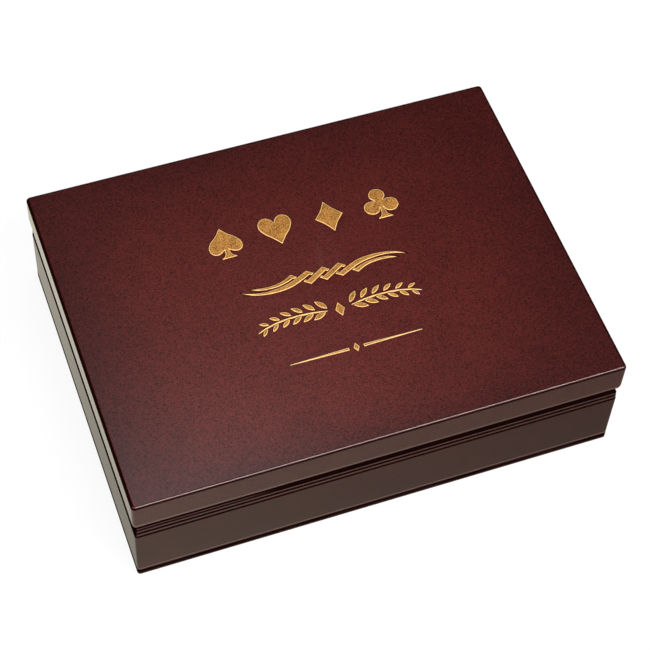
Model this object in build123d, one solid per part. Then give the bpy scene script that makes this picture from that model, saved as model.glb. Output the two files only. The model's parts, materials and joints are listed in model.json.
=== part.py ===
from build123d import *
import os
from math import asin, cos, radians, sin, sqrt

# Hinged wooden box for two decks of playing cards and a row of dice.
# Lengths in millimetres, +Z up, front of the box towards -Y, left towards -X.
# The origin is the centre of the underside, and the lid is modelled closed.

# What the box holds
card_width = 63.5
card_length = 88.9
card_side_clearance = 0.975
card_end_clearance = 1.05
die_size = 16.0
die_clearance = 0.6

# Tray between the linings
divider_thick = 2.4
end_bar_depth = 10.45
tray_height = 18.0
tray_edge_bevel = 0.5
well_pad_thick = 1.0
pad_side_clearance = 0.3
notch_radius = 8.5

# Base box
base_wall_thick = 7.25
base_wall_height = 22.7
base_inset = 0.45
rim_bevel = 0.15
base_foot_bevel = 0.3
bottom_board_thick = 3.0
bottom_board_inset = 0.4
bottom_board_bevel = 0.5
felt_thick = 0.5
felt_inset = 3.0

# Lining strips, which stand above the rim and locate the lid
liner_thick = 1.6
lip_height = 3.0
lip_clearance = 0.4
lip_top_round = 0.6
lip_head_room = 0.6

# Lid, from its lower edge upwards
parting_gap = 0.3
strip_height = 1.6
strip_stand = 0.75
strip_round = 0.3
bead_height = 2.2
bead_stand = 0.65
neck_height = 1.4
groove_inset = 1.4
slab_thick = 14.3
slab_round = 5.0
top_board_thick = 5.0
top_arris = 1.2
corner_extra = 0.1
lid_pad_thick = 2.0

# Stop hinges
hinge_from_end = 35.75
hinge_length = 24.0
knuckle_length = 7.0
leaf_thick = 1.8
leaf_reach = 6.0
knuckle_radius = 1.4
knuckle_stand_off = 1.6
knuckle_clearance = 0.3
knuckle_end_gap = 0.15
pin_radius = 0.7
pin_clearance = 0.05
mortise_clearance = 0.05
open_angle = 100.0
stop_clearance = 0.1

# Countersunk screw holes in the hinge leaves
hole_spacing = 14.0
hole_radius = 0.8
countersink_radius = 1.5

# Closing magnets
magnet_from_end = 30.75
magnet_radius = 2.5
magnet_thick = 2.0

# Sizes that follow from the contents
well_width = card_width + 2 * card_side_clearance
well_length = card_length + 2 * card_end_clearance
channel_width = die_size + 2 * die_clearance
lined_half_width = channel_width / 2 + divider_thick + well_width
lined_half_depth = well_length / 2 + end_bar_depth
base_inner_half_width = lined_half_width + liner_thick
base_inner_half_depth = lined_half_depth + liner_thick
half_width = base_inner_half_width + base_wall_thick + base_inset
half_depth = base_inner_half_depth + base_wall_thick + base_inset
lid_inner_half_width = base_inner_half_width + lip_clearance
lid_inner_half_depth = base_inner_half_depth + lip_clearance

# Heights above the underside
board_top = felt_thick + bottom_board_thick
rim = board_top + base_wall_height
lip_top = rim + lip_height
tray_top = board_top + tray_height
well_floor = board_top + well_pad_thick
lid_bottom = rim + parting_gap
lid_height = strip_height + bead_height + neck_height + slab_thick
lid_top = lid_bottom + lid_height
lid_ceiling = lid_top - top_board_thick
pin_level = rim + parting_gap / 2
pin_setback = half_depth + knuckle_stand_off
hinge_offset = half_width - hinge_from_end
magnet_offset = half_width - magnet_from_end

# The moulding turns each corner about one upright axis, just inside its deepest groove
corner_radius = groove_inset + corner_extra

Z_UP = Vector(0, 0, 1)
SIDES = {
    "front": Vector(0, -1, 0),
    "back": Vector(0, 1, 0),
    "left": Vector(-1, 0, 0),
    "right": Vector(1, 0, 0),
}
HANDS = {"left": -1, "right": 1}


def box_between(low, high):
    """Box from its low corner to its high corner."""
    size = [top - bottom for bottom, top in zip(low, high)]
    return Pos(*low) * Box(*size, align=(Align.MIN, Align.MIN, Align.MIN))


def rounded_block(block_half_width, block_half_depth, radius, low, high):
    """Upright block with rounded corners, between two heights."""
    outline = RectangleRounded(2 * block_half_width, 2 * block_half_depth, radius)
    return Pos(0, 0, low) * extrude(outline, high - low)


def round_end_face(block, direction, radius):
    """Round the edges round a block's lowest or highest face."""
    end_face = block.faces().sort_by(Axis.Z)[direction]
    return fillet(end_face.edges(), radius)


def bevel_end_face(block, direction, bevel):
    """Bevel the edges round a block's lowest or highest face."""
    end_face = block.faces().sort_by(Axis.Z)[direction]
    return chamfer(end_face.edges(), bevel)


def mitre_wedge(side, frame_half_width, frame_half_depth, low, high):
    """Prism over one side of a frame, bounded by the mitre planes at its two corners."""
    normal = SIDES[side]
    along = normal.cross(Z_UP)
    reach = frame_half_depth if normal.Y else frame_half_width
    span = frame_half_width if normal.Y else frame_half_depth
    depth = reach / 2
    overshoot = 1.0
    corners = [
        normal * (reach + overshoot) + along * (span + overshoot),
        normal * (reach + overshoot) - along * (span + overshoot),
        normal * (reach - depth) - along * (span - depth),
        normal * (reach - depth) + along * (span - depth),
    ]
    outline = make_face(Polyline(*[(p.X, p.Y) for p in corners], close=True))
    return Pos(0, 0, low) * extrude(outline, high - low)


def rail_section(inner_inset):
    """Section of a lid rail: fillet strip, bead, neck and slab edge, x = 0 at the widest outline."""
    strip_face = groove_inset - strip_stand
    strip_root = strip_face + strip_round
    bead_foot = strip_height
    bead_head = bead_foot + bead_height
    neck_head = bead_head + neck_height
    slab_inner = slab_round - groove_inset
    face_foot = neck_head + sqrt(slab_round**2 - slab_inner**2)
    rail_top = lid_height - top_board_thick
    diagonal = strip_round * sqrt(0.5)
    arc_angle = (radians(90) + asin(slab_inner / slab_round)) / 2
    outline = [
        Line((-inner_inset, 0), (-strip_root, 0)),
        ThreePointArc(
            (-strip_root, 0),
            (-strip_root + diagonal, strip_round - diagonal),
            (-strip_face, strip_round),
        ),
        Line((-strip_face, strip_round), (-strip_face, strip_height - strip_round)),
        ThreePointArc(
            (-strip_face, strip_height - strip_round),
            (-strip_root + diagonal, strip_height - strip_round + diagonal),
            (-strip_root, strip_height),
        ),
        Line((-strip_root, strip_height), (-groove_inset, bead_foot)),
        ThreePointArc(
            (-groove_inset, bead_foot),
            (-groove_inset + bead_stand, bead_foot + bead_height / 2),
            (-groove_inset, bead_head),
        ),
        Line((-groove_inset, bead_head), (-groove_inset, neck_head)),
        ThreePointArc(
            (-groove_inset, neck_head),
            (-slab_round + slab_round * sin(arc_angle), face_foot - slab_round * cos(arc_angle)),
            (0, face_foot),
        ),
        Line((0, face_foot), (0, rail_top)),
        Line((0, rail_top), (-inner_inset, rail_top)),
        Line((-inner_inset, rail_top), (-inner_inset, 0)),
    ]
    return make_face(outline)


def lid_ring():
    """The lid's four rails in one piece: straight runs and turned corners."""
    wall = half_width - lid_inner_half_width
    run_section = rail_section(wall)
    corner_section = rail_section(corner_radius)
    ring = []
    for normal in SIDES.values():
        along = normal.cross(Z_UP)
        reach = half_depth if normal.Y else half_width
        span = (half_width if normal.Y else half_depth) - corner_radius
        start = normal * reach - along * span + Z_UP * lid_bottom
        ring.append(extrude(Plane(start, x_dir=normal, z_dir=along) * run_section, 2 * span))
    for quarter in range(4):
        start_dir = Vector(1, 0, 0).rotate(Axis.Z, 90 * quarter)
        next_dir = Vector(0, 1, 0).rotate(Axis.Z, 90 * quarter)
        diagonal = start_dir + next_dir
        centre = Vector(
            diagonal.X * (half_width - corner_radius),
            diagonal.Y * (half_depth - corner_radius),
            lid_bottom,
        )
        plane = Plane(
            centre + start_dir * corner_radius,
            x_dir=start_dir,
            z_dir=start_dir.cross(Z_UP),
        )
        ring.append(revolve(plane * corner_section, Axis(centre, Z_UP), 90))
    return ring[0].fuse(*ring[1:]).clean()


def lid_rails():
    """Four moulded lid rails, mitred at the corners."""
    ring = lid_ring()
    return {
        side: ring & mitre_wedge(side, half_width, half_depth, lid_bottom - 1, lid_top)
        for side in SIDES
    }


def base_walls():
    """Four base walls, mitred at the corners, with a bevelled rim and foot."""
    block = rounded_block(
        half_width - base_inset,
        half_depth - base_inset,
        corner_radius - base_inset,
        board_top,
        rim,
    )
    block = bevel_end_face(block, -1, rim_bevel)
    block = bevel_end_face(block, 0, base_foot_bevel)
    hollow = box_between(
        (-base_inner_half_width, -base_inner_half_depth, board_top - 1),
        (base_inner_half_width, base_inner_half_depth, rim + 1),
    )
    ring = block - hollow
    return {
        side: ring & mitre_wedge(side, half_width, half_depth, board_top - 1, rim + 1)
        for side in SIDES
    }


def bottom_board():
    """Board glued under the walls, a little inside them, with a bevelled lower edge."""
    radius = corner_radius - bottom_board_inset
    board = rounded_block(
        half_width - bottom_board_inset,
        half_depth - bottom_board_inset,
        radius,
        felt_thick,
        board_top,
    )
    return bevel_end_face(board, 0, bottom_board_bevel)


def felt_base_pad():
    """Felt sheet that the box stands on."""
    return box_between(
        (-half_width + felt_inset, -half_depth + felt_inset, 0),
        (half_width - felt_inset, half_depth - felt_inset, felt_thick),
    )


def top_board():
    """Board that closes the lid, with rounded corners and a rounded top arris."""
    board = rounded_block(half_width, half_depth, corner_radius, lid_ceiling, lid_top)
    return round_end_face(board, -1, min(top_arris, 0.9 * corner_radius))


def lining_strips(outer_half_width, outer_half_depth, thick, low, high, top_round):
    """Four mitred strips of a lining, against the insides of the walls."""
    block = box_between(
        (-outer_half_width, -outer_half_depth, low),
        (outer_half_width, outer_half_depth, high),
    )
    if top_round:
        block = round_end_face(block, -1, min(top_round, 0.4 * thick))
    hollow = box_between(
        (-outer_half_width + thick, -outer_half_depth + thick, low - 1),
        (outer_half_width - thick, outer_half_depth - thick, high + 1),
    )
    ring = block - hollow
    return {
        side: ring & mitre_wedge(side, outer_half_width, outer_half_depth, low - 1, high + 1)
        for side in SIDES
    }


def base_liners():
    """Lining strips of the base, standing above the rim to locate the lid."""
    return lining_strips(
        base_inner_half_width,
        base_inner_half_depth,
        liner_thick,
        board_top,
        lip_top,
        lip_top_round,
    )


def lid_liners():
    """Lining strips of the lid, in line with those of the base and just above them."""
    return lining_strips(
        lid_inner_half_width,
        lid_inner_half_depth,
        liner_thick + lip_clearance,
        lip_top + lip_head_room,
        lid_ceiling,
        0,
    )


def lid_pad():
    """Padded panel under the top board, between the lid's lining strips."""
    return box_between(
        (
            -lined_half_width + pad_side_clearance,
            -lined_half_depth + pad_side_clearance,
            lid_ceiling - lid_pad_thick,
        ),
        (
            lined_half_width - pad_side_clearance,
            lined_half_depth - pad_side_clearance,
            lid_ceiling,
        ),
    )


def tray_bar(side):
    """Bar across the front or back of the wells, with a half-round finger notch at each well."""
    facing = SIDES[side].Y
    inner = facing * well_length / 2
    outer = facing * lined_half_depth
    bar = box_between(
        (-lined_half_width, min(inner, outer), board_top),
        (lined_half_width, max(inner, outer), tray_top),
    )
    for hand in HANDS.values():
        notch = Cylinder(notch_radius, tray_top, align=(Align.CENTER, Align.CENTER, Align.MIN))
        bar -= Pos(hand * well_centre(), inner, well_floor) * notch
    return bevel_end_face(bar, -1, tray_edge_bevel)


def well_centre():
    """Distance from the middle of the box to the middle of a card well."""
    return channel_width / 2 + divider_thick + well_width / 2


def tray_divider(hand):
    """Upright strip between a card well and the dice channel."""
    low_x = hand * (channel_width / 2 + divider_thick / 2) - divider_thick / 2
    divider = box_between(
        (low_x, -well_length / 2, board_top),
        (low_x + divider_thick, well_length / 2, tray_top),
    )
    long_top_edges = divider.edges().filter_by(Axis.Y).sort_by(Axis.Z)[-2:]
    return chamfer(long_top_edges, tray_edge_bevel)


def well_pad(centre_x, width):
    """Thin padded floor of a well."""
    half_pad = width / 2 - pad_side_clearance
    half_length = well_length / 2 - pad_side_clearance
    return box_between(
        (centre_x - half_pad, -half_length, board_top),
        (centre_x + half_pad, half_length, well_floor),
    )


def leaf_plate():
    """Base leaf without its knuckles, as a plate whose rear edge is bevelled for the stop."""
    half_open = radians(open_angle / 2)
    top = -parting_gap / 2
    bottom = top - leaf_thick
    front = -knuckle_stand_off - base_inset - leaf_reach
    rear_top = (-stop_clearance - top * cos(half_open)) / sin(half_open)
    rear_bottom = (-stop_clearance - bottom * cos(half_open)) / sin(half_open)
    outline = make_face(
        Polyline((front, top), (rear_top, top), (rear_bottom, bottom), (front, bottom), close=True)
    )
    plane = Plane((-hinge_length / 2, 0, 0), x_dir=(0, 1, 0), z_dir=(1, 0, 0))
    return extrude(plane * outline, hinge_length)


def along_x(radius, low, high):
    """Cylinder round the pin's axis between two places along it."""
    return Pos((low + high) / 2, 0, 0) * Rot(0, 90, 0) * Cylinder(radius, high - low)


def knuckle_spans(outer):
    """Stretches along the pin that belong to the outer or the middle knuckles."""
    half_length = hinge_length / 2
    inner_end = half_length - knuckle_length
    if outer:
        return [(-half_length, -inner_end), (inner_end, half_length)]
    return [(-inner_end + knuckle_end_gap, inner_end - knuckle_end_gap)]


def with_knuckles(plate, outer, bore_radius):
    """Leaf with its own knuckles, cleared round those of the other leaf."""
    half_length = hinge_length / 2
    leaf = plate
    for low, high in knuckle_spans(not outer):
        low_end = low - (0 if low == -half_length else knuckle_end_gap)
        high_end = high + (0 if high == half_length else knuckle_end_gap)
        leaf -= along_x(knuckle_radius + knuckle_clearance, low_end, high_end)
    for low, high in knuckle_spans(outer):
        leaf += along_x(knuckle_radius, low, high)
    return leaf - along_x(bore_radius, -half_length, half_length)


def screw_holes():
    """The two countersunk holes of a base leaf, from the pin's axis, widest at its upper face."""
    setback = -knuckle_stand_off - base_inset - leaf_reach / 2
    top = -parting_gap / 2
    hole = Cone(
        hole_radius,
        countersink_radius,
        leaf_thick,
        align=(Align.CENTER, Align.CENTER, Align.MAX),
    )
    return [Pos(side * hole_spacing / 2, setback, top) * hole for side in HANDS.values()]


def base_leaf():
    """Leaf let into the rim of the back wall, with the outer knuckles that hold the pin."""
    leaf = with_knuckles(leaf_plate(), True, pin_radius)
    for hole in screw_holes():
        leaf -= hole
    return leaf


def lid_leaf():
    """Leaf let into the lid's back rail, with the middle knuckle that turns on the pin."""
    leaf = with_knuckles(leaf_plate(), False, pin_radius + pin_clearance)
    for hole in screw_holes():
        leaf -= hole
    return mirror(leaf, Plane.XY)


def hinge_pin():
    """Pin held in the outer knuckles of the base leaf."""
    return along_x(pin_radius, -hinge_length / 2, hinge_length / 2)


def at_hinge(hand, shape):
    """Shape moved from the pin's own place to the left or right hinge."""
    return Pos(hand * hinge_offset, pin_setback, pin_level) * shape


def mortise(direction):
    """Pocket for a leaf, below or above the pin's level."""
    half_length = hinge_length / 2 + mortise_clearance
    front = -knuckle_stand_off - base_inset - leaf_reach
    near = direction * parting_gap / 2
    far = near + direction * leaf_thick
    past = near - direction * parting_gap / 2
    return box_between(
        (-half_length, front, min(past, far)),
        (half_length, 0, max(past, far)),
    )


def back_wall(plain_wall):
    """Back wall of the base with the mortises of both hinges."""
    wall = plain_wall
    for hand in HANDS.values():
        wall -= at_hinge(hand, mortise(-1))
    return wall


def back_rail(plain_rail):
    """Back rail of the lid with the mortises of both hinges."""
    rail = plain_rail
    for hand in HANDS.values():
        rail -= at_hinge(hand, mortise(1))
    return rail


def magnet(hand, low):
    """Closing magnet, centred in the thickness of the front wall."""
    setback = -(half_depth - base_inset - base_wall_thick / 2)
    disc = Cylinder(magnet_radius, magnet_thick, align=(Align.CENTER, Align.CENTER, Align.MIN))
    return Pos(hand * magnet_offset, setback, low) * disc


def base_parts():
    """Everything that stays with the base."""
    walls = base_walls()
    walls["back"] = back_wall(walls["back"])
    liners = base_liners()
    parts = {
        "bottom_board": bottom_board(),
        "felt_base_pad": felt_base_pad(),
        "tray_front_bar": tray_bar("front"),
        "tray_back_bar": tray_bar("back"),
        "dice_channel_pad": well_pad(0, channel_width),
    }
    for hand_name, hand in HANDS.items():
        base_magnet = magnet(hand, rim - magnet_thick)
        walls["front"] -= base_magnet
        parts["base_magnet_" + hand_name] = base_magnet
        parts["tray_" + hand_name + "_divider"] = tray_divider(hand)
        parts[hand_name + "_well_pad"] = well_pad(hand * well_centre(), well_width)
        parts["base_hinge_leaf_" + hand_name] = at_hinge(hand, base_leaf())
        parts["hinge_pin_" + hand_name] = at_hinge(hand, hinge_pin())
    for side in SIDES:
        parts["base_" + side + "_wall"] = walls[side]
        parts["base_" + side + "_liner"] = liners[side]
    return parts


def lid_parts():
    """Everything that turns with the lid."""
    rails = lid_rails()
    rails["back"] = back_rail(rails["back"])
    liners = lid_liners()
    parts = {"lid_top_board": top_board(), "lid_pad": lid_pad()}
    for hand_name, hand in HANDS.items():
        lid_magnet = magnet(hand, lid_bottom)
        rails["front"] -= lid_magnet
        parts["lid_magnet_" + hand_name] = lid_magnet
        parts["lid_hinge_leaf_" + hand_name] = at_hinge(hand, lid_leaf())
    for side in SIDES:
        parts["lid_" + side + "_rail"] = rails[side]
        parts["lid_" + side + "_liner"] = liners[side]
    return parts


os.makedirs("parts", exist_ok=True)
for node, shape in {**base_parts(), **lid_parts()}.items():
    export_step(shape, "parts/" + node + ".step")
print("lid outline", round(2 * half_width, 2), "x", round(2 * half_depth, 2), "height", lid_top)
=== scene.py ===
import json
from math import cos, pi, radians, sin

import bmesh
import bpy
from mathutils import Matrix, Vector, kdtree, noise

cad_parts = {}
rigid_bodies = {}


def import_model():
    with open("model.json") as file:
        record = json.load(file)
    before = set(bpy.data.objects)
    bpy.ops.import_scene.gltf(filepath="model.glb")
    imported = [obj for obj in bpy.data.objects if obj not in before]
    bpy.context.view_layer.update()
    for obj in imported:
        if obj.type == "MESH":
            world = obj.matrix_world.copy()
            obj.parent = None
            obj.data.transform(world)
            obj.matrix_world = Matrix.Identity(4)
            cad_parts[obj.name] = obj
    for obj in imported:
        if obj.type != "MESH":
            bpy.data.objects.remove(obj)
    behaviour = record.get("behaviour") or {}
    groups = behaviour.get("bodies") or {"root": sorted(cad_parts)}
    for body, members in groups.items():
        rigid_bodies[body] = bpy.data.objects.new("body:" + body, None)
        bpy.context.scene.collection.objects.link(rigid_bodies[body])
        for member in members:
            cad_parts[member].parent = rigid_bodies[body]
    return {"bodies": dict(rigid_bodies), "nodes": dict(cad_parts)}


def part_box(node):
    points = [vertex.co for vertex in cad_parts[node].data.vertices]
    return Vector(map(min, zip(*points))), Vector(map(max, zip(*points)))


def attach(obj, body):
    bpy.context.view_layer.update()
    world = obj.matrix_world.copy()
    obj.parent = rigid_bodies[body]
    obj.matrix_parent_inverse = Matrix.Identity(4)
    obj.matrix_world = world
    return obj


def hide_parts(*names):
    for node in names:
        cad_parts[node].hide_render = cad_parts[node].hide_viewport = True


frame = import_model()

cadNodes = frame["nodes"]
for extra in set(bpy.data.objects) - set(cadNodes.values()) - set(frame["bodies"].values()):
    bpy.data.objects.remove(extra)
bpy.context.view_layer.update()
mm = 0.001
halfWidth, halfDepth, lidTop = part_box("lid_top_board")[1]
print("frame loaded:", len(cadNodes), "nodes")


# shader helpers

def addNode(tree, kind, **settings):
    node = tree.nodes.new(kind)
    for name, value in settings.items():
        setattr(node, name, value)
    return node


def plug(tree, socket, value):
    # a link from another socket, or a plain value
    if isinstance(value, bpy.types.NodeSocket):
        tree.links.new(value, socket)
    elif value is not None:
        socket.default_value = value


def feed(tree, node, **inputs):
    # fills the inputs by their names without blanks
    for name, value in inputs.items():
        plug(tree, next(s for s in node.inputs if s.name.replace(" ", "") == name and s.enabled), value)
    return node


def maths(tree, operation, first, second=None):
    node = addNode(tree, "ShaderNodeMath", operation=operation)
    plug(tree, node.inputs[0], first)
    plug(tree, node.inputs[1], second)
    return node.outputs[0]


def times(tree, first, *others):
    for other in others:
        first = maths(tree, "MULTIPLY", first, other)
    return first


def highest(tree, first, *others):
    for other in others:
        first = maths(tree, "MAXIMUM", first, other)
    return first


def remainder(tree, share):
    return maths(tree, "SUBTRACT", 1.0, share)


def remap(tree, value, fromMin, fromMax, toMin=0.0, toMax=1.0):
    node = addNode(tree, "ShaderNodeMapRange", interpolation_type="SMOOTHSTEP")
    feed(tree, node, Value=value, FromMin=fromMin, FromMax=fromMax, ToMin=toMin, ToMax=toMax)
    return node.outputs[0]


def mixColour(tree, share, first, second, blend="MIX"):
    node = addNode(tree, "ShaderNodeMix", data_type="RGBA", blend_type=blend)
    plug(tree, node.inputs[0], share)
    for socket, value in ((node.inputs[6], first), (node.inputs[7], second)):
        plug(tree, socket, value if isinstance(value, bpy.types.NodeSocket) else (*value, 1.0))
    return node.outputs[2]


def tinted(tree, colour, tint):
    return mixColour(tree, 1.0, colour, tint, "MULTIPLY")


def objectPlace(tree):
    return addNode(tree, "ShaderNodeTexCoord").outputs["Object"]


def axesOf(tree, vector):
    return feed(tree, addNode(tree, "ShaderNodeSeparateXYZ"), Vector=vector).outputs


def stretched(tree, vector, scale):
    return feed(tree, addNode(tree, "ShaderNodeMapping"), Vector=vector, Scale=scale).outputs[0]


def noiseAt(tree, vector, scale, detail):
    return feed(tree, addNode(tree, "ShaderNodeTexNoise"), Vector=vector, Scale=scale, Detail=detail).outputs


def newGroup(name, outputs, **inputs):
    # a group of plain values: its tree, what it is given, and its output node
    tree = bpy.data.node_groups.new(name, "ShaderNodeTree")
    sockets = [(label, "INPUT", value) for label, value in inputs.items()]
    sockets += [(label, "OUTPUT", 0.0) for label in outputs]
    for label, way, value in sockets:
        tree.interface.new_socket(label, in_out=way, socket_type="NodeSocketFloat").default_value = value
    return tree, addNode(tree, "NodeGroupInput").outputs, addNode(tree, "NodeGroupOutput")


def useGroup(tree, group, **inputs):
    return feed(tree, addNode(tree, "ShaderNodeGroup", node_tree=group), **inputs).outputs


def newMaterial(name, **plain):
    material = bpy.data.materials.new(name)
    material.use_nodes = True
    tree = material.node_tree
    return material, tree, feed(tree, tree.nodes["Principled BSDF"], **plain)


def bump(tree, shader, height, distance, strength=1.0):
    node = feed(tree, addNode(tree, "ShaderNodeBump"), Height=height, Distance=distance, Strength=strength)
    tree.links.new(node.outputs[0], shader.inputs["Normal"])


# masks and patterns that several finishes share

def makeMottle():
    # cloudy variation of one size, from 0 to 1
    tree, given, out = newGroup("mottle", ["Value"], Size=0.001, Detail=3.0, Contrast=0.2)
    cloud = noiseAt(tree, objectPlace(tree), maths(tree, "DIVIDE", 1.0, given["Size"]), given["Detail"])
    low = maths(tree, "SUBTRACT", 0.5, given["Contrast"])
    high = maths(tree, "ADD", 0.5, given["Contrast"])
    feed(tree, out, Value=remap(tree, cloud[0], low, high))
    return tree


def makeSpecks():
    # sparse dust specks
    tree, given, out = newGroup("specks", ["Mask"], Spacing=0.01, Size=0.012)
    scale = maths(tree, "DIVIDE", 1.0, given["Spacing"])
    cells = feed(
        tree, addNode(tree, "ShaderNodeTexVoronoi"), Vector=objectPlace(tree), Scale=scale, Randomness=1.0
    )
    feed(tree, out, Mask=remap(tree, cells.outputs["Distance"], given["Size"], 0.0))
    return tree


smoke = {
    "cloudScale": 38.0,
    "fallOff": 0.3679,   # what is left after one reach
    # a narrow rim of painted shade along the left, right and back edges
    "rimReach": 0.003,
    "rimShare": 0.3,
}


def makeEdgeShade():
    # 1 at the box's outer faces, falling off inwards like smoke, over a length of its own from each side:
    # a stain sprayed darker at the edges, with painted shade in it, as the long reaches at the right and back
    # paint the light falling off there, and a narrow rim paints shade along the left, right and back edges
    sides = {
        "Left": ("X", "ADD", halfWidth),
        "Right": ("X", "SUBTRACT", halfWidth),
        "Front": ("Y", "ADD", halfDepth),
        "Back": ("Y", "SUBTRACT", halfDepth),
    }
    tree, given, out = newGroup("edgeShade", ["Mask"], **dict.fromkeys(sides, 0.02), Waver=0.004)
    place = objectPlace(tree)
    cloud = noiseAt(tree, place, smoke["cloudScale"], 3.0)[0]
    waver = times(tree, maths(tree, "SUBTRACT", cloud, 0.5), given["Waver"])
    along = axesOf(tree, place)
    clear = 1.0
    for side, (axis, operation, half) in sides.items():
        inwards = maths(tree, "ADD", maths(tree, operation, half, along[axis]), waver)
        inwards = highest(tree, inwards, 0.0)
        reaches = [(given[side], 1.0)]
        if side != "Front":
            reaches.append((smoke["rimReach"], smoke["rimShare"]))
        for reach, share in reaches:
            faded = maths(tree, "POWER", smoke["fallOff"], maths(tree, "DIVIDE", inwards, reach))
            clear = times(tree, clear, remainder(tree, times(tree, faded, share)))
    feed(tree, out, Mask=remainder(tree, clear))
    return tree


# the part of a face's direction at which each mask starts and is full
facings = {
    "front": (-0.1, -0.3),
    "back": (0.02, 0.2),
    "left": (-0.3, -0.6),
    "sideways": (0.05, 0.25),
    "upwards": (0.04, 0.2),
    "side": (0.97, 0.90),
}

# how far up a rounded edge looks where each mask comes in, and where it goes out
arrisZones = {
    "Mask": ((0.05, 0.25), (0.995, 0.94)),
    "Under": ((-0.15, -0.4), (-0.99, -0.9)),
    "Shine": ((0.62, 0.80), (0.945, 0.885)),
    "Turn": ((0.25, 0.45), (0.999, 0.985)),
}


def makeArrisMask():
    # Mask and Turn: rounded edges that look up; Under: those that look down; Shine: the middle
    # of the front's rounded edges, where a highlight is painted; Away: the rounded edges of the other sides
    tree, given, out = newGroup("arrisMask", [*arrisZones, "Away"])
    facing = axesOf(tree, addNode(tree, "ShaderNodeTexCoord").outputs["Normal"])
    for label, (comesIn, goesOut) in arrisZones.items():
        mask = times(tree, remap(tree, facing["Z"], *comesIn), remap(tree, facing["Z"], *goesOut))
        if label == "Shine":
            mask = times(tree, mask, remap(tree, facing["Y"], *facings["front"]))
        feed(tree, out, **{label: mask})
    sideways = remap(tree, maths(tree, "ABSOLUTE", facing["X"]), *facings["sideways"])
    away = highest(tree, sideways, remap(tree, facing["Y"], *facings["back"]))
    feed(tree, out, Away=times(tree, away, remap(tree, facing["Z"], *facings["upwards"])))
    return tree


# heights of painted shade (neck, leftBand, grooves) and of painted highlights (foot, slabEdge, bead) on the
# moulding
moulding = {
    "neck": (0.0296, 0.0334),
    "neckSoft": 0.0002,
    "thinLift": (0.0006, 0.0008),   # the neck's foot, where the dark gets thin over a span of the front
    "thinSpan": (-0.030, -0.060),
    "thinShare": 0.75,
    "leftBand": (0.0267, 0.0301),
    "grooves": ((0.0281, 0.00032), (0.02635, 0.00042), (0.00365, 0.0002)),   # middle and half width
    "grooveSoft": 0.00012,
    "foot": (0.0041, 0.0049, 0.00015, 0.42),   # from, to, softness and share of the light bands
    "slabEdge": (0.0338, 0.0348, 0.0006, 0.25),
    "bead": (0.0287, 0.0292, 0.0003, 0.40),
}


def makeMouldingBands():
    # heights on the sides where shade is painted dark and where highlights are painted light; Left: left
    # faces
    tree, given, out = newGroup("mouldingBands", ["Dark", "Light", "Left"])
    coords = addNode(tree, "ShaderNodeTexCoord").outputs
    place, facing = axesOf(tree, coords["Object"]), axesOf(tree, coords["Normal"])

    def band(low, high, soft):
        rise, fall = (low - soft, low + soft), (high + soft, high - soft)
        return times(tree, remap(tree, place["Z"], *rise), remap(tree, place["Z"], *fall))

    atLeft = remap(tree, facing["X"], *facings["left"])
    thin = times(
        tree, remap(tree, place["X"], *moulding["thinSpan"]), remap(tree, facing["Y"], *facings["front"])
    )
    kept = remap(tree, thin, 0.0, 1.0, 1.0, 1.0 - moulding["thinShare"])
    low, high = moulding["neck"]
    fullFrom, thinTo = moulding["thinLift"]
    soft = moulding["neckSoft"]
    dark = highest(
        tree,
        band(low + fullFrom, high, soft),
        times(tree, kept, band(low, low + thinTo, soft)),
        times(tree, atLeft, band(*moulding["leftBand"], soft)),
    )
    side = remap(tree, facing["Z"], *facings["side"])
    for middle, half in moulding["grooves"]:
        groove = band(middle - half, middle + half, moulding["grooveSoft"])
        dark = highest(tree, dark, times(tree, groove, side))
    light = 0.0
    for name in ("foot", "slabEdge", "bead"):
        *reach, share = moulding[name]
        light = highest(tree, light, times(tree, band(*reach), share))
    feed(tree, out, Dark=dark, Light=times(tree, light, remainder(tree, dark)), Left=atLeft)
    return tree


mottle = makeMottle()
specks = makeSpecks()
edgeShade = makeEdgeShade()
arrisMask = makeArrisMask()
mouldingBands = makeMouldingBands()


def cloudy(tree, size, detail, contrast):
    return useGroup(tree, mottle, Size=size, Detail=detail, Contrast=contrast)["Value"]


# finishes

lacquer = {
    "middle": (0.162, 0.0187, 0.0154),
    "edge": (0.0565, 0.0066, 0.0054),
    # reaches of the edge stain; the longer ones at the right and back also paint the light falling off there
    "fades": {"Left": 0.033, "Right": 0.080, "Front": 0.0105, "Back": 0.031, "Waver": 0.006},
    "cloudy": (0.82, 0.80, 0.80),
    "cloudSize": 0.02,
    "grainy": (0.15, 0.15, 0.16),
    "grainSize": 0.00044,
    "dust": (0.5, 0.42, 0.38),
    "dustShare": 0.35,
    "dustSpacing": 0.011,
    "dustSize": 0.011,
    "groove": (0.004, 0.0008, 0.0007),
    "grooveReach": 0.0065,
    "grooveShade": (0.78, 0.48),
    "arrisShare": 0.85,
    "worn": (0.15, 0.090, 0.075),
    "rubbed": (0.16, 0.055, 0.050),
    "rubbedShare": 0.5,
    "rubbedGain": 1.60,
    "grooveLoss": 0.98,
    "awayLoss": 0.95,
    "turnLoss": 0.6,
    "grainLoss": 0.30,
    "roughness": (0.40, 0.52),
    "coatRoughness": 0.27,
    "coatIndex": 1.373,
    "peelSize": 0.0006,
    "peelHeight": 0.000012,
}

# the parts of the box differ in depth of colour, and in painted light: weaker reflections on the walls for
# the shade of the floor they mirror, a painted highlight under the edges, and painted shade in the left
# faces' reflections
coats = {
    "burgundyLacquer": {"depth": 1.0, "coat": 1.06, "worn": 0.0, "leftLoss": 0.0},
    "wallLacquer": {"depth": 0.62, "coat": 0.83, "worn": 0.5, "leftLoss": 0.16},
}


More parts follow.
